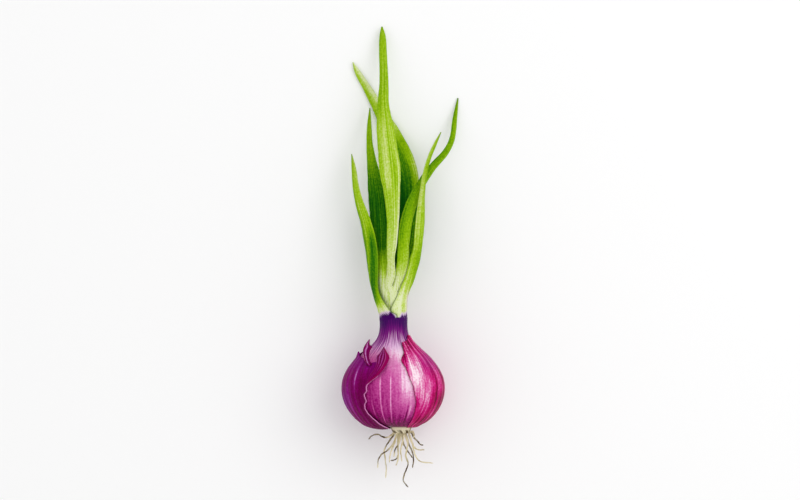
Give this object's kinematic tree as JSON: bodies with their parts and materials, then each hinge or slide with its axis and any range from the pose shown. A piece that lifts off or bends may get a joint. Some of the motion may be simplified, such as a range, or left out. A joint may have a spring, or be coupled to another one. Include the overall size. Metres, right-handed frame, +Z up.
{
  "type": "sprouted red onion set",
  "caption": "Small sprouted red onion lying on its side, with dry purple skins, green leaves and short roots.",
  "frame": {"origin": "middle of the small flat spot on the bulb's underside, where the onion lies on a surface", "axes": "+Y along the plant from the roots to the leaf tips, +Z up from the surface it lies on, +X to the right seen from above with the leaves pointing away"},
  "size_m": [0.0359, 0.1414, 0.0311],
  "materials": {
    "onion_flesh": "glossy onion scale, pink with purple veins",
    "skin_purple": "thin dry onion skin, satin, dark purple",
    "skin_magenta": "thin dry onion skin, satin, magenta with pale streaks",
    "leaf_bright": "fresh onion leaf, waxy, yellow green",
    "leaf_olive": "fresh onion leaf, waxy, mid green",
    "leaf_dark": "fresh onion leaf, waxy, dark green",
    "root_plate": "corky, matt, cream",
    "root": "fine root, matt, cream and brown"
  },
  "bodies": {
    "root": {"bulb": "onion_flesh", "dry_skin_left": "skin_purple", "dry_skin_right": "skin_magenta", "skin_shred_upright": "skin_purple", "skin_shred_folded": "skin_purple", "leaf_outer_left": "leaf_olive", "leaf_outer_right": "leaf_olive", "leaf_tall_centre": "leaf_bright", "leaf_inner_left": "leaf_dark", "leaf_curved_right": "leaf_olive", "leaf_broad_back": "leaf_dark", "root_plate": "root_plate", "root_01": "root", "root_02": "root", "root_03": "root", "root_04": "root", "root_05": "root", "root_06": "root", "root_07": "root", "root_08": "root", "root_09": "root", "root_10": "root", "root_11": "root", "root_12": "root", "root_13": "root", "root_14": "root", "root_15": "root"}
  },
  "joints": []
}
